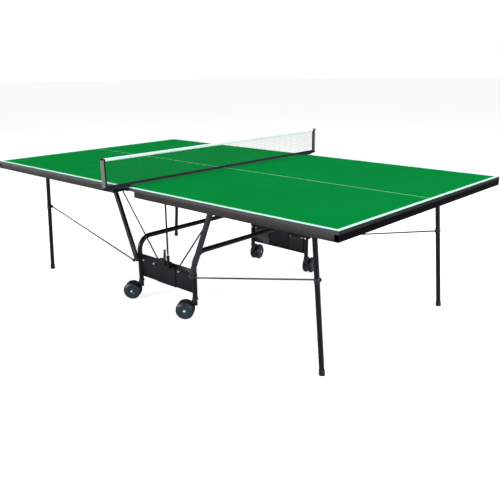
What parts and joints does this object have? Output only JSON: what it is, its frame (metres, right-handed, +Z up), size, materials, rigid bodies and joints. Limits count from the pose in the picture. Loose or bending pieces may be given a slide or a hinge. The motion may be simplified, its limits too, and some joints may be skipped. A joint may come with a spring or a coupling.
{
  "type": "ping pong table",
  "caption": "Full-size folding ping pong table: green boards on steel rails, folding legs, a rolling undercarriage with struts, and a net on edge posts.",
  "frame": {"origin": "on the floor under the centre of the table", "axes": "+X along the length towards the right end, +Y across towards the far side, +Z up; the net lies in the YZ plane"},
  "size_m": [2.74, 1.774, 0.923],
  "materials": {
    "table_top": "painted board, fine matt texture, white lines",
    "rail_steel": "satin powder coat",
    "frame_steel": "satin powder coat",
    "panel_steel": "satin powder coat",
    "strut_steel": "satin powder coat",
    "zinc": "bright zinc plate",
    "latch_plastic": "moulded, fine grain",
    "foot_rubber": "moulded rubber",
    "caster_plastic": "moulded nylon",
    "wheel_plastic": "moulded wheel with grey tread",
    "net_mesh": "knotted nylon mesh",
    "net_white": "woven cotton tape",
    "net_dark": "woven nylon tape",
    "post_metal": "satin grey",
    "bracket_metal": "satin powder coat"
  },
  "bodies": {
    "undercarriage": {"upright_near_left": "frame_steel", "upright_near_right": "frame_steel", "upright_far_left": "frame_steel", "upright_far_right": "frame_steel", "cross_tube_left": "frame_steel", "cross_tube_right": "frame_steel", "side_panel_near": "panel_steel", "side_panel_far": "panel_steel", "panel_bolts": "zinc", "fold_pins": "zinc", "latch_box_near": "latch_plastic", "latch_box_far": "latch_plastic"},
    "struts_left": {"struts_left": "strut_steel"},
    "half_left": {"board_left": "table_top", "side_rails_left": "rail_steel", "rail_caps_left": "latch_plastic", "end_rail_left": "rail_steel", "cross_rails_left": "rail_steel", "brackets_left": "strut_steel", "strut_pins_left": "zinc"},
    "legs_left": {"leg_near_left": "frame_steel", "leg_far_left": "frame_steel", "leg_axle_left": "frame_steel", "rod_collars_left": "frame_steel", "feet_left": "foot_rubber"},
    "leg_rods_left": {"leg_rods_left": "frame_steel"},
    "stays_left": {"stays_left": "frame_steel"},
    "struts_right": {"struts_right": "strut_steel"},
    "half_right": {"board_right": "table_top", "side_rails_right": "rail_steel", "rail_caps_right": "latch_plastic", "end_rail_right": "rail_steel", "cross_rails_right": "rail_steel", "brackets_right": "strut_steel", "strut_pins_right": "zinc"},
    "legs_right": {"leg_near_right": "frame_steel", "leg_far_right": "frame_steel", "leg_axle_right": "frame_steel", "rod_collars_right": "frame_steel", "feet_right": "foot_rubber"},
    "leg_rods_right": {"leg_rods_right": "frame_steel"},
    "stays_right": {"stays_right": "frame_steel"},
    "lock_rod_near": {"lock_rod_near": "frame_steel"},
    "lever_near": {"latch_lever_near": "latch_plastic"},
    "caster_near_left": {"caster_fork_near_left": "caster_plastic"},
    "wheels_near_left": {"wheels_near_left": "wheel_plastic"},
    "caster_near_right": {"caster_fork_near_right": "caster_plastic"},
    "wheels_near_right": {"wheels_near_right": "wheel_plastic"},
    "lock_rod_far": {"lock_rod_far": "frame_steel"},
    "lever_far": {"latch_lever_far": "latch_plastic"},
    "caster_far_left": {"caster_fork_far_left": "caster_plastic"},
    "wheels_far_left": {"wheels_far_left": "wheel_plastic"},
    "caster_far_right": {"caster_fork_far_right": "caster_plastic"},
    "wheels_far_right": {"wheels_far_right": "wheel_plastic"},
    "net_set": {"net_mesh": "net_mesh", "net_band": "net_white", "net_cord": "net_dark", "net_posts": "post_metal", "net_brackets": "bracket_metal"}
  },
  "joints": [
    {"name": "strut_swing_left", "type": "hinge", "parent": "undercarriage", "child": "struts_left", "pos_m": [-0.24, 0, 0.252], "axis": [0, 1, 0], "range_deg": [0, 26.24]},
    {"name": "fold_left", "type": "hinge", "parent": "struts_left", "child": "half_left", "pos_m": [-0.437, 0, 0.704], "axis": [0, 1, 0], "range_deg": [0, 63.78]},
    {"name": "leg_fold_left", "type": "hinge", "parent": "half_left", "child": "legs_left", "pos_m": [-1.105, 0, 0.705], "axis": [0, 1, 0], "range_deg": [-83.27, 0]},
    {"name": "leg_rod_turn_left", "type": "hinge", "parent": "legs_left", "child": "leg_rods_left", "pos_m": [-1.12787, 0, 0.44902], "axis": [0, 1, 0], "range_deg": [0, 68.94]},
    {"name": "stay_turn_left", "type": "hinge", "parent": "struts_left", "child": "stays_left", "pos_m": [-0.42179, 0, 0.6691], "axis": [0, 1, 0], "range_deg": [0, 12.63]},
    {"name": "lock_rod_swing_far", "type": "hinge", "parent": "half_left", "child": "lock_rod_far", "pos_m": [-0.072, 0, 0.704], "axis": [0, 1, 0], "range_deg": [0, 90.02]},
    {"name": "strut_swing_right", "type": "hinge", "parent": "undercarriage", "child": "struts_right", "pos_m": [0.24, 0, 0.252], "axis": [0, -1, 0], "range_deg": [0, 26.24]},
    {"name": "fold_right", "type": "hinge", "parent": "struts_right", "child": "half_right", "pos_m": [0.437, 0, 0.704], "axis": [0, -1, 0], "range_deg": [0, 63.78]},
    {"name": "leg_fold_right", "type": "hinge", "parent": "half_right", "child": "legs_right", "pos_m": [1.105, 0, 0.705], "axis": [0, -1, 0], "range_deg": [-83.27, 0]},
    {"name": "leg_rod_turn_right", "type": "hinge", "parent": "legs_right", "child": "leg_rods_right", "pos_m": [1.12787, 0, 0.44902], "axis": [0, -1, 0], "range_deg": [0, 68.94]},
    {"name": "stay_turn_right", "type": "hinge", "parent": "struts_right", "child": "stays_right", "pos_m": [0.42179, 0, 0.6691], "axis": [0, -1, 0], "range_deg": [0, 12.63]},
    {"name": "lock_rod_swing_near", "type": "hinge", "parent": "half_right", "child": "lock_rod_near", "pos_m": [0.072, 0, 0.704], "axis": [0, -1, 0], "range_deg": [0, 90.02]},
    {"name": "lever_turn_near", "type": "hinge", "parent": "undercarriage", "child": "lever_near", "pos_m": [0.026, 0, 0.282], "axis": [0, 1, 0], "range_deg": [-35, 0]},
    {"name": "lever_turn_far", "type": "hinge", "parent": "undercarriage", "child": "lever_far", "pos_m": [-0.026, 0, 0.282], "axis": [0, -1, 0], "range_deg": [-35, 0]},
    {"name": "net_lift", "type": "slide", "parent": "undercarriage", "child": "net_set", "axis": [0, 0, 1], "range_m": [0, 0.1]},
    {"name": "swivel_near_left", "type": "hinge", "parent": "undercarriage", "child": "caster_near_left", "pos_m": [-0.24, -0.5, 0.1], "axis": [0, 0, 1], "continuous": true},
    {"name": "roll_near_left", "type": "hinge", "parent": "caster_near_left", "child": "wheels_near_left", "pos_m": [-0.2857, -0.53571, 0.052], "axis": [-0.6157, 0.788, 0], "continuous": true},
    {"name": "swivel_near_right", "type": "hinge", "parent": "undercarriage", "child": "caster_near_right", "pos_m": [0.24, -0.5, 0.1], "axis": [0, 0, 1], "continuous": true},
    {"name": "roll_near_right", "type": "hinge", "parent": "caster_near_right", "child": "wheels_near_right", "pos_m": [0.19429, -0.53571, 0.052], "axis": [-0.6157, 0.788, 0], "continuous": true},
    {"name": "swivel_far_left", "type": "hinge", "parent": "undercarriage", "child": "caster_far_left", "pos_m": [-0.24, 0.5, 0.1], "axis": [0, 0, 1], "continuous": true},
    {"name": "roll_far_left", "type": "hinge", "parent": "caster_far_left", "child": "wheels_far_left", "pos_m": [-0.25403, 0.55628, 0.052], "axis": [0.9703, 0.2419, 0], "continuous": true},
    {"name": "swivel_far_right", "type": "hinge", "parent": "undercarriage", "child": "caster_far_right", "pos_m": [0.24, 0.5, 0.1], "axis": [0, 0, 1], "continuous": true},
    {"name": "roll_far_right", "type": "hinge", "parent": "caster_far_right", "child": "wheels_far_right", "pos_m": [0.22401, 0.55575, 0.052], "axis": [0.9613, 0.2756, 0], "continuous": true}
  ],
  "couplings": [
    {"joint": "strut_swing_left", "follows": "fold_left", "ratio": 0.41117},
    {"joint": "leg_fold_left", "follows": "fold_left", "ratio": -1.3053},
    {"joint": "leg_rod_turn_left", "follows": "fold_left", "ratio": 1.0807},
    {"joint": "stay_turn_left", "follows": "fold_left", "ratio": 0.19766},
    {"joint": "lock_rod_swing_far", "follows": "fold_left", "ratio": 1.4112},
    {"joint": "strut_swing_right", "follows": "fold_right", "ratio": 0.41117},
    {"joint": "leg_fold_right", "follows": "fold_right", "ratio": -1.3053},
    {"joint": "leg_rod_turn_right", "follows": "fold_right", "ratio": 1.0807},
    {"joint": "stay_turn_right", "follows": "fold_right", "ratio": 0.19766},
    {"joint": "lock_rod_swing_near", "follows": "fold_right", "ratio": 1.4112}
  ]
}
